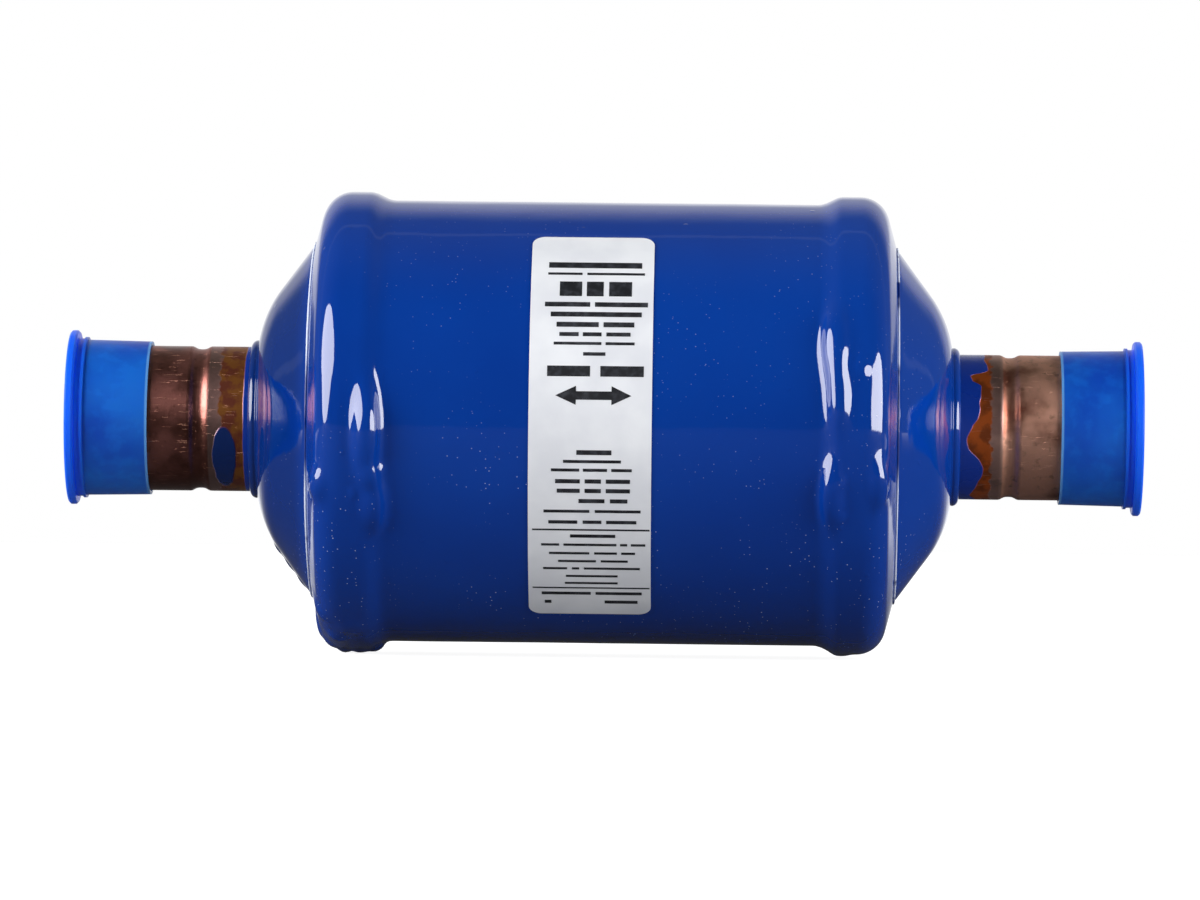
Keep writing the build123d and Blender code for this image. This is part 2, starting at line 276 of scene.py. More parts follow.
# %% Feel out the outside of the steel
STEEL = ["shell", "left_end_dome", "right_end_dome", "left_braze_ring", "right_braze_ring"]
STATIONS = 4001
END_INSET = 0.02 * mm  # keeps the first and last ray on the steel
RAY_START = 60 * mm  # clear above the can
OFF_SEAM = 0.3 * mm  # rays pass beside the meshes' seam

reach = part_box("right_braze_ring")[1].x
stations = np.linspace(-reach + END_INSET, reach - END_INSET, STATIONS)


def outside_radius(station):
    """The largest radius of the steel at this station."""
    found = 0.0
    for name in STEEL:
        start = Vector((station, OFF_SEAM, RAY_START))
        hit, where, _, _ = nodes[name].ray_cast(start, Vector((0, 0, -1)))
        if hit:
            found = max(found, math.hypot(where.y, where.z))
    return found


radii = np.array([outside_radius(x) for x in stations])
profile = np.column_stack([stations, radii])
print("profile from", profile[0], "to", profile[-1], "largest radius", radii.max())

# %% [markdown]
# ## Paint rounds every corner
# A thick coat hides the sharp edges below it. Smoothing the finished skin would need a modifier and
# would shrink the can. Averaging the profile first, over a bell as wide as the paint is deep, rounds
# the corners and leaves the straight parts where they were.

# %% Soften the profile by the paint
FINE_POINTS = 8001
PAINT_BELL = 0.16 * mm

steps = np.hypot(*np.diff(profile, axis=0).T)
along = np.concatenate([[0], np.cumsum(steps)])
fine_at = np.linspace(0, along[-1], FINE_POINTS)
gap = fine_at[1]
fine = np.column_stack([np.interp(fine_at, along, profile[:, k]) for k in (0, 1)])


def smeared(values, width):
    """Values averaged over a bell of this width along the profile."""
    spread = int(4 * width / gap)
    bell = np.exp(-0.5 * (np.arange(-spread, spread + 1) * gap / width) ** 2)
    longer = np.pad(values, spread, mode="reflect", reflect_type="odd")
    return np.convolve(longer, bell / bell.sum(), mode="valid")


soft = np.column_stack([smeared(fine[:, k], PAINT_BELL) for k in (0, 1)])
print("largest move by the paint:", round(abs(soft - fine).max() / mm, 2), "mm")

# %% [markdown]
# ## Rows where they are needed
# The coat needs close rows where the profile turns, at the beads, the crease and the neck, and few
# on the straight can. Even rows would waste faces. So a short table gives the wanted distance
# between rows, and the rows are shared out by it.

# %% Share out the rows of the skin
ROWS, COLUMNS = 290, 280
FROM_MIDDLE = [34, 36, 47, 48, 50, 51, 56, 57.5, 61]  # mm
ROW_SPACING = [0.9, 0.4, 0.4, 0.2, 0.2, 0.5, 0.5, 0.22, 0.2]  # mm

apart = np.interp(abs(soft[:, 0]) / mm, FROM_MIDDLE, ROW_SPACING)
share = np.concatenate([[0], np.cumsum(gap / mm / apart[1:])])
row_at = np.interp(np.linspace(0, share[-1], ROWS), share, fine_at)
rows = np.column_stack([np.interp(row_at, fine_at, soft[:, k]) for k in (0, 1)])
slope = np.column_stack([np.gradient(rows[:, k], row_at) for k in (0, 1)])
slope /= np.linalg.norm(slope, axis=1)[:, None]
outward = np.column_stack([-slope[:, 1], slope[:, 0]])
print("rows", ROWS, "of a possible", round(share[-1]), "at the wanted distances")

# %% [markdown]
# ## Runs, sags and pimples
# Before it sets, dip paint slides down the can. It hangs in long drops beside the rolled beads,
# pools under the left end and closes over specks of grit. Such forms could be sculpted, or painted
# as bump. Bump has no outline and can't catch a lamp as a drop does, and sculpting can't be read
# again. So each is a small smooth swelling of the coat, given by its place and its size.

# %% The list of swellings
# station mm, degrees above the front, half length round the can mm, half width mm, height mm
SWELLINGS = [
    (-38.9, -3.0, 5.6, 1.5, 2.4),
    (-38.3, -13.8, 1.5, 1.1, 1.0),
    (-37.5, -21.5, 3.6, 1.4, 1.9),
    (-47.0, -17.0, 2.0, 1.1, 0.9),
    (-36.4, -12.5, 0.45, 0.45, 0.45),
    (-41.0, -18.5, 0.45, 0.45, 0.45),
    (-45.5, 3.0, 5.0, 0.8, 0.15),
    (38.5, 21.0, 5.0, 1.6, 1.5),
    (39.3, 7.0, 4.4, 1.3, 0.9),
    (42.6, 14.5, 1.6, 1.0, 0.5),
    (38.2, -18.0, 4.0, 1.3, 1.8),
    (46.0, -15.0, 3.0, 1.1, 1.3),
    (40.2, -14.5, 0.45, 0.45, 0.45),
    (40.0, -23.0, 0.45, 0.45, 0.45),
    (-38.4, -90.0, 1.6, 1.0, 0.8),
    (-41.2, -89.0, 2.0, 1.2, 0.65),
    (-43.9, -91.0, 1.6, 0.9, 0.75),
    (-46.2, -88.0, 1.8, 1.1, 0.6),
    (-47.9, -91.0, 1.2, 0.7, 0.7),
    (-44.6, -72.0, 1.6, 1.2, 0.5),
    (-47.2, -62.0, 1.4, 1.0, 0.4),
    (-42.0, -64.0, 2.2, 1.4, 0.35),
    (-51.3, -89.0, 1.4, 0.7, 0.3),
    (-53.4, -91.0, 1.2, 0.8, 0.35),
    (-55.3, -88.0, 1.2, 0.6, 0.3),
    (40.5, -89.0, 1.8, 1.2, 0.3),
]
print(len(SWELLINGS), "swellings, the highest", max(row[-1] for row in SWELLINGS), "mm")

# %% How far the paint lifts at a point
SWELLING_EDGE = 1.4  # above 1, a swelling has a flatter top and a steeper foot than a bell
FAR_AWAY = 4  # in half widths or half lengths, where a swelling no longer counts


def swelling(station, angle, radius):
    total = 0.0
    for at, around, long_half, wide_half, high in SWELLINGS:
        down = (angle - math.radians(around) + math.pi) % (2 * math.pi) - math.pi
        u = (station / mm - at) / wide_half
        v = down * radius / mm / long_half
        if abs(u) < FAR_AWAY and abs(v) < FAR_AWAY:
            total += high * math.exp(-0.5 * (u * u + v * v) ** SWELLING_EDGE)
    return total * mm


def unevenness(x, y, z):
    """Slow waves in the depth of the paint."""
    slow = noise.noise(Vector((x, y, z)) * 45.0)
    quick = noise.noise(Vector((x, y, z)) * 140.0 + Vector((7, 3, 1)))
    return (0.05 * slow + 0.015 * quick) * mm


print("the first swelling lifts its middle by",
      round(swelling(SWELLINGS[0][0] * mm, math.radians(SWELLINGS[0][1]), 37.5 * mm) / mm, 2), "mm")

# %% Turn the rows about the axis
END_FADE = 1.5 * mm  # over this length the paint thins out to nothing at each end

angles = np.linspace(0, 2 * math.pi, COLUMNS, endpoint=False)
skin = []
for (x, r), (nx, nr) in zip(rows, outward):
    edge = min(1.0, (reach - abs(x)) / END_FADE)
    for a in angles:
        lift = edge * (swelling(x, a, r) + unevenness(x, r * math.cos(a), r * math.sin(a)))
        lifted = r + nr * lift
        skin.append((x + nx * lift, -lifted * math.cos(a), lifted * math.sin(a)))
print("outer skin points:", len(skin))

# %% [markdown]
# ## A closed coat
# So far the skin is a sheet without thickness, and a sheet has a bare edge and an inner side that
# some viewers leave out. A Solidify modifier could thicken it, but it would fold at the tight
# crease. An inner wall is laid instead, from every eighth row, and joined to the outer one at each
# end, just clear of the tube.

# %% Close the coat and ride it
WALL = 1.9 * mm
INNER_STEP = 8
INNER_REACH = 56.5 * mm
TUBE_GAP = 0.03 * mm


def make_piece(name, points, faces, material, body, smooth=True):
    mesh = bpy.data.meshes.new(name)
    mesh.from_pydata([tuple(p) for p in points], [], faces)
    mesh.validate()
    mesh.materials.append(material)
    mesh.polygons.foreach_set("use_smooth", [smooth] * len(mesh.polygons))
    piece = bpy.data.objects.new(name, mesh)
    bpy.context.scene.collection.objects.link(piece)
    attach(piece, body)
    print(name, len(mesh.vertices), "points", len(mesh.polygons), "faces")
    return piece


inner_rows = [k for k in range(0, ROWS, INNER_STEP) if abs(rows[k, 0]) < INNER_REACH]
inside = [tuple(rows[k] - outward[k] * WALL) for k in inner_rows]
mouth = nodes["right_fitting"].dimensions.z / 2 + TUBE_GAP
inside = [(inside[0][0], mouth)] + inside + [(inside[-1][0], mouth)]
points = list(skin)
for x, r in inside:
    points += [(x, -r * math.cos(a), r * math.sin(a)) for a in angles]
outer_starts = [k * COLUMNS for k in range(ROWS)]
inner_starts = [(ROWS + k) * COLUMNS for k in reversed(range(len(inside)))]
order = outer_starts + inner_starts
faces = []
for first, second in zip(order, order[1:] + order[:1]):
    for k in range(COLUMNS):
        n = (k + 1) % COLUMNS
        faces.append((first + k, first + n, second + n, second + k))
coat = make_piece("enamel_coat", points, faces, enamel, "drier")
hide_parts(*STEEL)

# %% [markdown]
# ## A thread of paint in each crease
# Where the can's lip is rolled in over the end, the paint leaves a thin raised ring in the crease.
# Above and below the middle it is painted pale in patches, as a painted highlight of the white line
# that the crease shows. It could be part of the coat, but it is finer than the coat's rows. A ring
# of its own, with an uneven thickness, stays thin and crisp.

# %% Finish of the threads
CREASE_BLUE, PAINTED_HIGHLIGHT_PALE = colour(4, 40, 120), colour(222, 230, 248)

thread_paint, b, shader = finish_named("thread_paint")
off_middle = b.math("ABSOLUTE", b.axis(b.place(), "Z"))
# Painted highlight: pale patches on the thread's upper and lower arcs, rougher where pale.
painted_highlight = b.between(b.noise(b.place(), 120.0, detail=2.0), 0.3, 0.42)
painted_highlight = b.times(painted_highlight, b.between(off_middle, 0.006, 0.012, 0.05, 1.0))
b.feed(shader.inputs["Base Color"], b.mix(painted_highlight, CREASE_BLUE, PAINTED_HIGHLIGHT_PALE))
b.feed(shader.inputs["Roughness"], b.between(painted_highlight, 0.0, 1.0, 0.1, 0.45))
print("thread finish:", thread_paint.name)

# %% Two threads, half sunk in their creases
THREAD_SEATS = {"left": -49.32, "right": 49.32}  # stations in mm
THREAD_RADIUS, THREAD_THICK = 30.14, 0.21  # mm
AROUND, ACROSS = 320, 10


def thread(name, station):
    """A thin ring of paint, uneven along its length."""
    ring_points, ring_faces = [], []
    for i in range(AROUND):
        a = 2 * math.pi * i / AROUND
        uneven = noise.noise(Vector((math.cos(a), math.sin(a), station)) * 3.0)
        thick = THREAD_THICK * (0.9 + 0.35 * uneven)
        for j in range(ACROSS):
            t = 2 * math.pi * j / ACROSS
            r = (THREAD_RADIUS + thick * math.cos(t)) * mm
            x = (station + thick * math.sin(t)) * mm
            ring_points.append((x, -r * math.cos(a), r * math.sin(a)))
            k, m = (i + 1) % AROUND, (j + 1) % ACROSS
            ring_faces.append((i * ACROSS + j, i * ACROSS + m, k * ACROSS + m, k * ACROSS + j))
    return make_piece(name, ring_points, ring_faces, thread_paint, "drier")


for side, seat in THREAD_SEATS.items():
    thread(f"{side}_crease_thread", seat)

# %% [markdown]
# ## The copper stubs
# Each stub is drawn copper tube. Brazing heat leaves it brown and blotchy, varnish-yellow near the
# joint and greyer beside that, and bright where it was rubbed. The right stub's copper is painted
# lighter than the left's, partly for its wear and partly as painted highlight. The dip leaves a tide
# of blue at its root, and a drop ran down the left one. Separate meshes for tarnish and tide would
# show their edges. Masks that follow the distance along the tube keep every zone on the copper, from
# any side.

# %% Tarnish, zone by zone from the can outwards
SPECKLE, GREYED, RUBBED = colour(92, 58, 48), colour(188, 158, 152), colour(232, 170, 140)


def tarnish(b, spot, along, fine, cloud, stub):
    """The copper's colour, the mask of its scorched zone and the mask of its scratches."""
    burnt = stub["burnt"]
    brown = b.mix(b.between(cloud, 0.38, 0.6), stub["dull"], stub["bright"])
    brown = b.mix(b.between(fine, 0.55, 0.75, 0.0, 0.4), brown, SPECKLE)
    near_braze = b.between(b.astray(along, fine, 2.2), burnt + 0.35, burnt - 0.2)
    varnish = b.between(b.noise(spot, 420.0, detail=3.0), 0.42, 0.62)
    brown = b.mix(near_braze, brown, b.mix(varnish, stub["burn"], stub["scorch"]))
    beside = b.between(along, burnt + 2.2, burnt + 1.8)
    greyed = b.times(beside, b.math("SUBTRACT", 1.0, near_braze))
    brown = b.mix(b.times(greyed, 0.6), brown, GREYED)
    rub = b.mask(scratches, Across=5200.0, Along=260.0, Share=0.34)
    return b.mix(b.times(rub, 0.6), brown, RUBBED), near_braze, rub


print("tarnish colours:", [tuple(round(v, 2) for v in c[:3]) for c in (SPECKLE, GREYED, RUBBED)])

# %% The tide of paint at the root, and the drop
TIDE_BLUE, DROP_BLUE = colour(12, 52, 150), colour(7, 36, 92)
TONGUE_HEIGHT = 0.0082  # where one tongue of a ragged tide reaches out, in metres
TONGUE_REACH = 2.2  # mm


def tide_of_paint(b, spot, along, wander, stub):
    """Where the dip covered the tube's root."""
    broad = b.noise(spot, 90.0, detail=1.0)
    shore = b.astray(along, wander, stub["ragged"])
    shore = b.astray(shore, broad, stub["ragged"] * 2.2)
    if stub["ragged"] > 1:
        off_tongue = b.math("ABSOLUTE", b.math("SUBTRACT", b.axis(spot, "Z"), TONGUE_HEIGHT))
        shore = b.math("ADD", shore, b.between(off_tongue, 0.0014, 0.0003, 0.0, TONGUE_REACH))
    return b.between(shore, stub["tide"] + 0.12, stub["tide"] - 0.12)


def spilt_drop(b, spot, along, wander, station, height, half_wide, half_tall):
    """An oval of paint on the tube's front; all four sizes in mm."""
    z = b.times(b.axis(spot, "Z"), 1000.0)
    wide = b.math("DIVIDE", b.math("SUBTRACT", along, station), half_wide)
    tall = b.math("DIVIDE", b.math("SUBTRACT", z, height), half_tall)
    away = b.math("ADD", b.times(wide, wide), b.times(tall, tall))
    spilt = b.between(b.times_plus(wander, 1.2, away), 1.7, 1.5)
    return b.times(spilt, b.math("LESS_THAN", b.axis(spot, "Y"), 0.0))


print("tide and drop are ready")

# %% The whole finish of a stub
STUB_GRAIN = 0.05 * mm


def stub_copper(name, stub):
    material, b, shader = finish_named(name)
    spot = b.place()
    along = b.times(b.math("ABSOLUTE", b.axis(spot, "X")), 1000.0)
    cloud = b.noise(spot, 90.0, detail=4.0)
    fine = b.noise(spot, 700.0, detail=3.0)
    wander = b.noise(spot, 180.0, detail=2.0)
    brown, near_braze, rub = tarnish(b, spot, along, fine, cloud, stub)
    painted, blue = tide_of_paint(b, spot, along, wander, stub), TIDE_BLUE
    if "drop" in stub:
        spilt = spilt_drop(b, spot, along, wander, *stub["drop"])
        blue = b.mix(spilt, blue, DROP_BLUE)
        painted = b.math("MAXIMUM", painted, spilt)
    b.feed(shader.inputs["Base Color"], b.mix(painted, brown, blue))
    metal_left = b.times_plus(near_braze, -0.35, 1.0)
    b.feed(shader.inputs["Metallic"], b.times(b.math("SUBTRACT", 1.0, painted), metal_left))
    worn = b.between(cloud, 0.3, 0.7, *stub["roughness"])
    b.feed(shader.inputs["Roughness"], b.times_plus(painted, -0.15, worn))
    height = b.times_plus(painted, 2.0, b.times(fine, 0.35))
    b.bump(shader, b.times_plus(rub, -0.5, height), STUB_GRAIN)
    return material


# tide and burnt are stations in mm from the middle of the can; drop is station, height and halves
STUBS = {
    "left": dict(tide=60.9, ragged=0.3, burnt=64.9, roughness=(0.28, 0.42),
                 dull=colour(122, 76, 66), bright=colour(188, 122, 112),
                 burn=colour(150, 92, 40), scorch=colour(124, 62, 44),
                 drop=(64.1, -6.4, 2.0, 5.2)),
    # The right stub's dull and bright colours are a lighter copy of the copper: partly wear, partly
    # painted highlight.
    "right": dict(tide=63.2, ragged=3.2, burnt=65.3, roughness=(0.38, 0.54),
                  dull=colour(158, 94, 76), bright=colour(250, 190, 164),
                  burn=colour(190, 90, 30), scorch=colour(140, 66, 26)),
}
for side, stub in STUBS.items():
    dress([f"{side}_fitting"], stub_copper(f"{side}_copper", stub))

# %% [markdown]
# ## The dust caps
# The caps are thin moulded polyethylene: blue, a little milky, and brighter where the plastic is
# thin, at the flange and at the edge of the mouth. They could be made see-through, but milky plastic
# scatters light more than it lets light pass. A touch of subsurface light does that, and masks along
# the axis paint the thin places lighter, as painted light for what shines through them. The scuffs
# of handling go into the roughness.

# %% Cap plastic: its colour
CAP_BLUE, CAP_MILK = colour(8, 70, 184), colour(20, 104, 212)
FLANGE_LIT_BLUE, MOUTH_LIT_BLUE = colour(20, 100, 250), colour(96, 156, 232)
FLANGE_EDGE, MOUTH_EDGE = (0.0878, 0.0884), (0.07765, 0.0774)  # metres from the middle

plastic, b, shader = finish_named("milky_cap")
spot = b.place()
out_along = b.math("ABSOLUTE", b.axis(spot, "X"))
blotch = b.between(b.noise(spot, 420.0, detail=3.0), 0.45, 0.7)
milk = b.times_plus(blotch, 0.35, b.between(b.noise(spot, 60.0), 0.3, 0.7))
tone = b.mix(milk, CAP_BLUE, CAP_MILK)
# Painted light: the flange and the mouth's edge are painted lighter, for light passing through thin
# plastic.
tone = b.mix(b.between(out_along, *FLANGE_EDGE), tone, FLANGE_LIT_BLUE)
tone = b.mix(b.between(out_along, *MOUTH_EDGE), tone, MOUTH_LIT_BLUE)
b.feed(shader.inputs["Base Color"], tone)
print("cap colour nodes:", len(plastic.node_tree.nodes))

# %% Cap plastic: scuffs, grain and milkiness
MOULD_GRAIN = 0.02 * mm

scuff = b.mask(scratches, Across=2600.0, Along=900.0, Share=0.2)
b.feed(shader.inputs["Roughness"], b.times_plus(scuff, 0.2, 0.34))
b.bump(shader, b.times_plus(scuff, -0.6, b.noise(spot, 1500.0, detail=2.0)), MOULD_GRAIN)
fixed(shader, Specular_IOR_Level=0.35, Subsurface_Weight=0.3, Subsurface_Scale=0.004,
      Subsurface_Radius=(0.2, 0.6, 1.0))
dress(["left_cap", "right_cap"], plastic)

# %% [markdown]
# ## The label
# A foil label is wrapped round the front of the can. The foil keeps its solid from the frame and
# gets a silvery satin finish. On a bought drier the print names its maker, so here it is generic: an
# arrow with two heads, for flow both ways, thin rules, and plain bars in place of words. Print is
# often an image. Here it is real ink, raised by a hair, so it stays sharp from close by.

# %% Foil
FOIL_GRAIN = 0.02 * mm

foil, b, shader = finish_named("label_foil")
spot = b.place()
cloud = b.between(b.noise(spot, 120.0, detail=3.0), 0.3, 0.7)
b.feed(shader.inputs["Base Color"], b.mix(cloud, colour(224, 226, 233), colour(234, 236, 241)))
b.feed(shader.inputs["Roughness"], b.between(cloud, 0.0, 1.0, 0.42, 0.5))
b.bump(shader, b.noise(spot, 2200.0, detail=2.0), FOIL_GRAIN, strength=0.6)
fixed(shader, Metallic=0.1)
dress(["label"], foil)

# %% Ink
ink, b, shader = finish_named("label_ink")
patchy = b.between(b.noise(b.place(), 900.0, detail=3.0), 0.4, 0.75)
b.feed(shader.inputs["Base Color"], b.mix(patchy, colour(20, 21, 27), colour(48, 50, 58)))
b.feed(shader.inputs["Roughness"], b.between(patchy, 0.0, 1.0, 0.45, 0.6))
print("ink finish:", ink.name)

# %% Ribbons of ink, wrapped on the foil
FOIL_RADIUS = -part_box("label")[0].y
INK = 0.03 * mm  # as high above the foil as it reaches into it
ink_points, ink_faces = [], []


def stepped(edges):
    """The same edges, with a row at every degree, so that the ink follows the can."""
    for (deg, left, right), (deg_to, left_to, right_to) in zip(edges, edges[1:]):
        parts = max(1, math.ceil(abs(deg_to - deg)))
        for k in range(parts):
            t = k / parts
            yield (deg + (deg_to - deg) * t, left + (left_to - left) * t,
                   right + (right_to - right) * t)
    yield edges[-1]


def ribbon(edges):
    """A closed sliver between rows of (degrees above the front, left mm, right mm)."""
    start = len(ink_points)
    for deg, left, right in stepped(edges):
        a = math.radians(deg)
        for radius in (FOIL_RADIUS - INK, FOIL_RADIUS + INK):
            for x in (left, right):
                ink_points.append((x * mm, -radius * math.cos(a), radius * math.sin(a)))
    last = len(ink_points) - 4
    for p in range(start, last, 4):
        for i, j in ((0, 1), (1, 3), (3, 2), (2, 0)):
            ink_faces.append((p + i, p + j, p + 4 + j, p + 4 + i))
    ink_faces.append((start, start + 2, start + 3, start + 1))
    ink_faces.append((last, last + 1, last + 3, last + 2))


def bar(deg, high, left, right):
    """A bar of ink: its middle in degrees above the front, its height and its two ends in mm."""
    half = math.degrees(high * mm / FOIL_RADIUS) / 2
    ribbon([(deg + half, left, right), (deg - half, left, right)])


print("foil radius", round(FOIL_RADIUS / mm, 3), "mm")

# %% Arrow and rules
ribbon([(7.95, -4.6, 2.0), (5.8, -4.6, 2.0)])
ribbon([(9.3, -4.2, -4.2), (6.85, -7.6, -4.2), (4.5, -4.2, -4.2)])
ribbon([(9.3, 1.7, 1.7), (6.85, 1.7, 5.0), (4.5, 1.7, 1.7)])
for deg in (-28.1, -46.9):
    bar(deg, 0.3, -11.3, 8.2)
print("points of ink in the arrow and the rules:", len(ink_points))

# %% Bars in place of words
# degrees above the front, height mm, then each bar's ends in mm
BARS = [
    (44.1, 1.3, (-9.1, 6.4)),
    (41.1, 0.5, (-9.2, -3.5), (-2.7, 6.9)),
    (36.2, 3.0, (-7.2, -3.5), (-2.7, 0.1), (1.0, 4.8)),
    (31.4, 0.9, (-9.6, -2.1), (-1.3, 7.5)),
    (28.5, 0.9, (-8.6, 6.5)),
    (25.6, 0.9, (-7.6, -0.6), (0.2, 5.3)),
    (22.9, 0.7, (-7.1, -3.9), (-3.2, -0.1), (0.7, 4.7)),
    (20.4, 0.5, (-8.0, -0.1), (0.6, 5.4)),
    (17.6, 0.6, (-3.1, 0.6)),
    (13.1, 1.8, (-9.0, -1.9), (-0.2, 7.0)),
    (-7.5, 0.8, (-4.0, 1.8)),
    (-9.8, 0.5, (-6.2, 3.4)),
    (-12.0, 0.5, (-8.2, -3.5), (-2.9, 1.1), (1.8, 5.2)),
    (-14.9, 0.7, (-7.5, -3.4), (-2.6, 0.1), (0.9, 4.9)),
    (-17.4, 0.7, (-7.2, -3.4), (-2.6, 0.1), (0.9, 4.9)),
    (-20.1, 0.7, (-3.6, 0.7), (1.6, 4.5)),
    (-22.9, 0.5, (-9.4, -1.8), (-0.9, 6.7)),
    (-25.9, 0.6, (-8.6, -3.8), (-2.9, 0.2), (1.0, 6.0)),
    (-29.9, 0.6, (-5.0, 2.5)),
    (-32.5, 0.45, (-9.8, -6.8), (-6.1, 2.7), (3.3, 4.5), (5.1, 7.5)),
    (-35.1, 0.45, (-8.5, -1.8), (-1.0, 2.8), (3.5, 5.8)),
    (-37.6, 0.45, (-7.0, -0.7), (0.1, 4.6)),
    (-40.0, 0.45, (-9.5, -5.5), (-4.7, -3.5), (-2.7, 6.6)),
    (-42.6, 0.45, (-5.7, 2.9)),
    (-45.1, 0.45, (-5.9, 2.9)),
    (-49.0, 0.7, (-9.8, -1.6), (-0.8, 6.9)),
    (-52.5, 0.8, (-9.3, -8.2), (0.7, 6.2)),
]
for deg, high, *ends in BARS:
    for left, right in ends:
        bar(deg, high, left, right)
make_piece("label_print", ink_points, ink_faces, ink, "drier", smooth=False)

# %% [markdown]
# ## Inside the can
# Nothing inside shows while the can is whole, but the parts are there for a cutaway: a moulded
# drying core, its felt wrap and pads, zinc-plated plates, cages, cups and tube, spring steel, and
# brass poppets. Each could have a recipe of its own. They come from two kinds of stock, though,
# metal that was rubbed and stuff that is fibrous or grainy, so two recipes with their own values do.

# %% Metals
METAL_GRAIN = 0.03 * mm


def metal(name, light, dark, rough, across, along):
    material, b, shader = finish_named(name)
    cloud = b.between(b.noise(b.place(), 110.0, detail=4.0), 0.35, 0.65)
    rub = b.mask(scratches, Across=across, Along=along, Share=0.3)
    b.feed(shader.inputs["Base Color"], b.mix(cloud, light, dark))
    b.feed(shader.inputs["Roughness"], b.times_plus(rub, -0.12, rough))
    b.bump(shader, rub, METAL_GRAIN, strength=0.7)
    fixed(shader, Metallic=1.0)
    return material


def both(*stems):
    return [f"{side}_{stem}" for stem in stems for side in SIDES]


plated = metal("zinc_plate", colour(196, 198, 196), colour(168, 170, 172), 0.36, 4200.0, 300.0)
spring = metal("spring_wire", colour(150, 150, 152), colour(112, 112, 116), 0.30, 6000.0, 900.0)
brass = metal("turned_brass", colour(214, 178, 98), colour(190, 148, 74), 0.28, 4200.0, 300.0)
dress(both("valve_plate", "valve_cage", "core_cup") + ["core_screen"], plated)
dress(both("inlet_flap", "core_spring"), spring)
dress(both("outlet_poppet"), brass)

# %% Felt and drying core


def fibrous(name, light, dark, scale, depth):
    material, b, shader = finish_named(name)
    fibre = b.noise(b.stretched(b.place(), (1.0, 0.5, 0.5)), scale, detail=5.0, roughness=0.7)
    b.feed(shader.inputs["Base Color"], b.mix(b.between(fibre, 0.35, 0.65), dark, light))
    b.feed(shader.inputs["Roughness"], b.between(fibre, 0.3, 0.7, 0.85, 0.98))
    b.bump(shader, fibre, depth)
    return material


felt = fibrous("white_felt", colour(226, 222, 208), colour(196, 190, 172), 1600.0, 0.25 * mm)
block = fibrous("core_block", colour(222, 206, 178), colour(190, 170, 138), 900.0, 0.3 * mm)
dress(both("core_pad") + ["core_wrap"], felt)
dress(["desiccant_core"], block)

# %% [markdown]
# ## The springs
# Each check valve presses its spring together as it opens: the flap flattens a leaf with three
# fingers, and the poppet closes up a coil. A spring that stayed stiff would be cut by its valve, and
# one that rode on the valve would leave its seat. Here each is a copy of its solid in spring steel,
# ridden on the drier, and the solid is hidden.

# %% Copies of the springs
VALVE_SPRINGS = {"inlet": ("leaf", 2.0 * mm), "outlet": ("coil", 3.0 * mm)}
for valve, (kind, travel) in VALVE_SPRINGS.items():
    for side in SIDES:
        solid = f"{side}_{valve}_spring"
        steel = nodes[solid].data.copy()
        steel.materials.clear()
        steel.materials.append(spring)
        soft_spring = bpy.data.objects.new(f"{side}_{valve}_{kind}", steel)
        bpy.context.scene.collection.objects.link(soft_spring)
        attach(soft_spring, "drier")
        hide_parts(solid)
        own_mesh(soft_spring)

# %% [markdown]
# ## The studio, and its floor
# The can lies on a pale floor, in front of white. A sheet of white paper could be lit until it is
# white, but the lamps that do it would bleach the can. So the floor is grey cloth that also glows,
# only for rays that come from the camera or through something clear. The can's shadow stays on it.
#
# Shiny things see the white in full only behind the can, where a backdrop would stand. With white
# all round, the deep blue would turn milky and the copper pale. So on the near floor, in front and
# overhead they see a dim room, of 3 to 10 percent.

# %% Floor finish
DIM = 0.03  # share of the white that gloss sees away from the backdrop
FLOOR_GLOW = 0.9
WHITE = (1, 1, 1, 1)


def grey(level):
    return (level, level, level, 1)


def white_seen(b, rays, gloss_share):
    """1 where a ray of the camera or through something clear ends, and a share for gloss."""
    plain = b.math("MAXIMUM", rays["Is Camera Ray"], rays["Is Transmission Ray"])
    return b.math("MAXIMUM", plain, b.times(rays["Is Glossy Ray"], gloss_share))


floor_white, b, shader = finish_named("floor_white")
rays = b.put("ShaderNodeLightPath").outputs
far_back = b.between(b.axis(b.place(), "Y"), 0.06, 0.35, DIM, 1.0)
dimmed = b.times(rays["Is Glossy Ray"], b.math("SUBTRACT", 1.0, far_back))
cloth = b.mix(b.noise(b.place(), 6.0, detail=2.0), grey(0.30), grey(0.33))
b.feed(shader.inputs["Base Color"], b.mix(dimmed, cloth, grey(0.03)))
fixed(shader, Roughness=0.9, Specular_IOR_Level=0.1)
strength = b.times(white_seen(b, rays, far_back), FLOOR_GLOW)
glow = b.put("ShaderNodeEmission", Color=WHITE, Strength=strength)
together = b.put("ShaderNodeAddShader")
b.feed(together.inputs[0], shader.outputs[0])
b.feed(together.inputs[1], glow.outputs[0])
b.feed(floor_white.node_tree.nodes["Material Output"].inputs["Surface"], together.outputs[0])
print("floor finish:", floor_white.name)

# %% Floor
FLOOR_RADIUS, FLOOR_SIDES = 1.1, 96

ground = min(p[2] for p in skin) - 0.02 * mm
turns = np.linspace(0, 2 * math.pi, FLOOR_SIDES, endpoint=False)
corners = [(FLOOR_RADIUS * math.cos(t), FLOOR_RADIUS * math.sin(t), ground) for t in turns]
floor_mesh = bpy.data.meshes.new("floor")
floor_mesh.from_pydata(corners, [], [range(len(corners))])
floor_mesh.materials.append(floor_white)
floor = bpy.data.objects.new("floor", floor_mesh)
bpy.context.scene.collection.objects.link(floor)
print("floor at", round(ground / mm, 2), "mm")

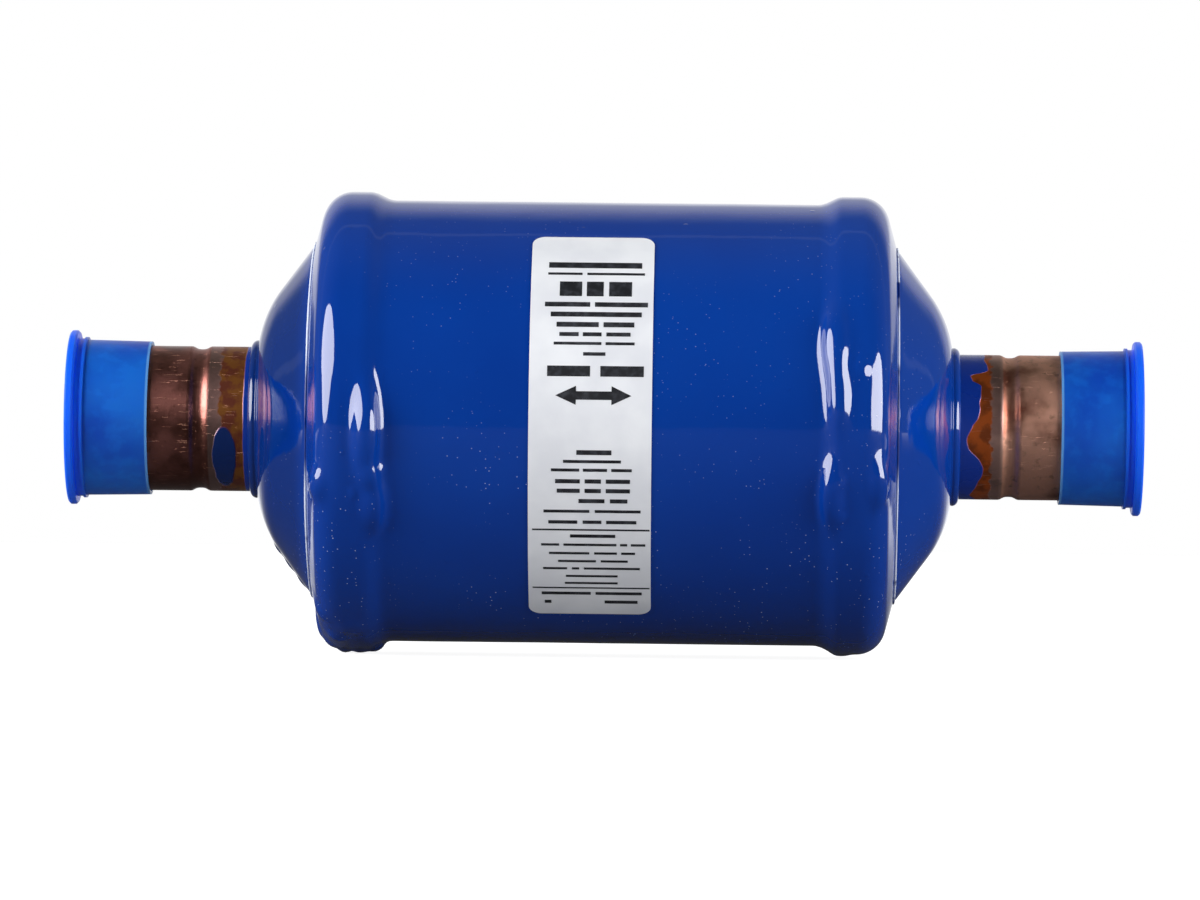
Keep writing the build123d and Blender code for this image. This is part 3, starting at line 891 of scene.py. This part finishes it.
# %% [markdown]
# ## The lamps
# Gloss shows what stands round it, so the light is arranged as for any shiny cylinder. A lamp in
# front would be mirrored as a hard stripe along the whole can. A tall soft box at each side is
# mirrored only where the surface turns sideways: on the rolled beads, the ends and the sags. A weak
# lamp behind lifts the back, and gloss doesn't mirror it.

# %% Lamps
LAMP_AWAY = 1.2  # metres from the can's middle


def soft_box(name, azimuth, rise, width, tall, power):
    """A soft lamp, turned to the can: azimuth and rise in degrees, sizes in metres, power in W."""
    lamp = bpy.data.lights.new(name, "AREA")
    lamp.shape, lamp.size, lamp.size_y, lamp.energy = "ELLIPSE", width, tall, power
    holder = bpy.data.objects.new(name, lamp)
    turn, up = math.radians(azimuth), math.radians(rise)
    holder.location = (LAMP_AWAY * math.cos(up) * math.sin(turn),
                       -LAMP_AWAY * math.cos(up) * math.cos(turn),
                       LAMP_AWAY * math.sin(up))
    holder.rotation_euler = (-holder.location).to_track_quat("-Z", "Y").to_euler()
    bpy.context.scene.collection.objects.link(holder)
    return holder


soft_box("left_box", azimuth=-64, rise=21, width=1.25, tall=1.02, power=21.5)
soft_box("right_box", azimuth=63, rise=6, width=1.10, tall=0.88, power=19.5)
back_fill = soft_box("back_fill", azimuth=180, rise=30, width=1.30, tall=0.90, power=9.0)
back_fill.visible_glossy = False

# %% [markdown]
# ## The room around
# The rest of the light comes from the world. An even grey would do for a matt thing, but on enamel
# it is a veil. This one is white for the camera, bright behind for the pale line along the can's
# top, with one thin strip in it, and dim overhead and in front, so that the blue stays deep.

# %% The room around
# x, y and z are the direction's own, from -1 to 1; y goes away from the viewer and z goes up
room = bpy.data.worlds.new("room")
room.use_nodes = True
bpy.context.scene.world = room
b = Bench(room.node_tree)
way = b.put("ShaderNodeTexCoord").outputs["Generated"]
x, y, z = (b.axis(way, letter) for letter in "XYZ")
strip = b.times(b.between(y, 0.395, 0.41), b.between(y, 0.445, 0.43, 0.0, 0.1))
overhead = b.between(y, -0.5, 0.4, 0.03, 0.10)
behind = b.between(y, 0.6, 0.9, 0.0, 0.5)
narrow = b.between(b.math("ABSOLUTE", x), 0.62, 0.42)
front_floor = b.between(z, 0.35, 0.0, 0.0, 0.03)
level = b.times_plus(behind, narrow, b.math("ADD", overhead, strip))
level = b.math("MAXIMUM", level, front_floor)
white_back = b.between(y, 0.85, 0.99, DIM, 1.0)
rays = b.put("ShaderNodeLightPath").outputs
level = b.math("MAXIMUM", level, white_seen(b, rays, white_back))
print("room nodes:", len(room.node_tree.nodes))

# %% A touch of green in the dim parts, none in the white
GREENER, GREEN_UP_TO = 1.12, 0.3

green = b.math("MINIMUM", b.times(level, GREENER), b.math("MAXIMUM", level, GREEN_UP_TO))
shade = b.put("ShaderNodeCombineColor", Red=level, Green=green, Blue=level)
background = room.node_tree.nodes["Background"]
b.feed(background.inputs["Color"], shade.outputs[0])
fixed(background, Strength=1.0)
print("room strength:", background.inputs["Strength"].default_value)

# %% [markdown]
# ## The camera
# A drier is best shown from the side, with its label in front. A short lens close by would swell
# the middle of the can. A long lens from more than a metre away keeps its proportions. The camera is
# rolled by a hair, because a can laid down by hand never lies quite level.

# %% Camera
LENS, SENSOR = 231, 36  # mm
ROLL = 0.65  # degrees
AIM = Vector((-0.0008, 0, -0.0046))

camera_data = bpy.data.cameras.new("camera")
camera_data.lens, camera_data.sensor_width = LENS, SENSOR
camera_data.clip_start, camera_data.clip_end = 0.05, 20
camera = bpy.data.objects.new("camera", camera_data)
bpy.context.scene.collection.objects.link(camera)
camera.location = (0.024, -1.31, 0.0)
look = (AIM - camera.location).to_track_quat("-Z", "Y").to_matrix().to_4x4()
roll = Matrix.Rotation(math.radians(ROLL), 4, "Z")
camera.matrix_world = Matrix.Translation(camera.location) @ look @ roll
bpy.context.scene.camera = camera
bpy.context.scene.view_settings.view_transform = "Standard"
print("camera at", tuple(round(v, 3) for v in camera.location), "with a lens of", LENS, "mm")
